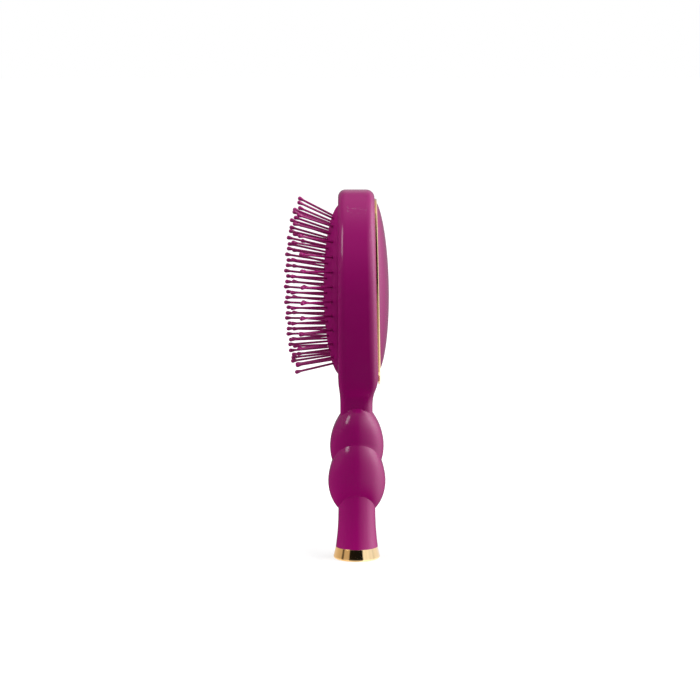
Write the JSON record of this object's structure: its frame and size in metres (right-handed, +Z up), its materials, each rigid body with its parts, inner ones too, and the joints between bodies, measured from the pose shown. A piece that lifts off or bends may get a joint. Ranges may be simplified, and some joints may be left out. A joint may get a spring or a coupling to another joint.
{
  "type": "detangling brush",
  "caption": "Standing detangling hairbrush: oval head, air cushion with fanned ball-tipped pins that press in, gilt-rimmed domed back, bulbous handle and gilt end ring.",
  "frame": {"origin": "centre of the flat base that the brush stands on", "axes": "+Z up the handle to the head, -Y the side of the pins, +Y the domed back, X across the head"},
  "size_m": [0.0718, 0.0564, 0.2],
  "materials": {
    "plum_abs": "glossy moulded ABS, plum magenta",
    "plum_rubber": "satin silicone-like rubber, plum magenta",
    "plum_nylon": "satin moulded nylon, plum magenta",
    "gilt_trim": "electroplated gold over moulded ABS, mirror",
    "inner_plate": "plain moulded polypropylene"
  },
  "bodies": {
    "brush": {"body": "plum_abs", "cushion": "plum_rubber", "backing_plate": "inner_plate", "back_bezel": "gilt_trim", "back_cover": "plum_abs", "end_ring": "gilt_trim", "base_plug": "plum_abs"},
    "pins_row_01": {"pins_row_01": "plum_nylon"},
    "pins_row_02": {"pins_row_02": "plum_nylon"},
    "pins_row_03": {"pins_row_03": "plum_nylon"},
    "pins_row_04": {"pins_row_04": "plum_nylon"},
    "pins_row_05": {"pins_row_05": "plum_nylon"},
    "pins_row_06": {"pins_row_06": "plum_nylon"},
    "pins_row_07": {"pins_row_07": "plum_nylon"},
    "pins_row_08": {"pins_row_08": "plum_nylon"},
    "pins_row_09": {"pins_row_09": "plum_nylon"},
    "pins_row_10": {"pins_row_10": "plum_nylon"},
    "pins_row_11": {"pins_row_11": "plum_nylon"}
  },
  "joints": [
    {"name": "row_01_press", "type": "slide", "parent": "brush", "child": "pins_row_01", "axis": [0, 1, 0], "range_m": [0, 0.00164]},
    {"name": "row_02_press", "type": "slide", "parent": "brush", "child": "pins_row_02", "axis": [0, 1, 0], "range_m": [0, 0.00228]},
    {"name": "row_03_press", "type": "slide", "parent": "brush", "child": "pins_row_03", "axis": [0, 1, 0], "range_m": [0, 0.00266]},
    {"name": "row_04_press", "type": "slide", "parent": "brush", "child": "pins_row_04", "axis": [0, 1, 0], "range_m": [0, 0.00288]},
    {"name": "row_05_press", "type": "slide", "parent": "brush", "child": "pins_row_05", "axis": [0, 1, 0], "range_m": [0, 0.00299]},
    {"name": "cushion_press", "type": "slide", "parent": "brush", "child": "pins_row_06", "axis": [0, 1, 0], "range_m": [0, 0.003], "stiffness_N_per_m": 2500, "deforming": ["cushion"]},
    {"name": "row_07_press", "type": "slide", "parent": "brush", "child": "pins_row_07", "axis": [0, 1, 0], "range_m": [0, 0.00291]},
    {"name": "row_08_press", "type": "slide", "parent": "brush", "child": "pins_row_08", "axis": [0, 1, 0], "range_m": [0, 0.00273]},
    {"name": "row_09_press", "type": "slide", "parent": "brush", "child": "pins_row_09", "axis": [0, 1, 0], "range_m": [0, 0.00243]},
    {"name": "row_10_press", "type": "slide", "parent": "brush", "child": "pins_row_10", "axis": [0, 1, 0], "range_m": [0, 0.00198]},
    {"name": "row_11_press", "type": "slide", "parent": "brush", "child": "pins_row_11", "axis": [0, 1, 0], "range_m": [0, 0.00155]}
  ],
  "couplings": [
    {"joint": "row_01_press", "follows": "cushion_press", "ratio": 0.548},
    {"joint": "row_02_press", "follows": "cushion_press", "ratio": 0.761},
    {"joint": "row_03_press", "follows": "cushion_press", "ratio": 0.885},
    {"joint": "row_04_press", "follows": "cushion_press", "ratio": 0.961},
    {"joint": "row_05_press", "follows": "cushion_press", "ratio": 0.998},
    {"joint": "row_07_press", "follows": "cushion_press", "ratio": 0.971},
    {"joint": "row_08_press", "follows": "cushion_press", "ratio": 0.91},
    {"joint": "row_09_press", "follows": "cushion_press", "ratio": 0.811},
    {"joint": "row_10_press", "follows": "cushion_press", "ratio": 0.661},
    {"joint": "row_11_press", "follows": "cushion_press", "ratio": 0.516}
  ]
}
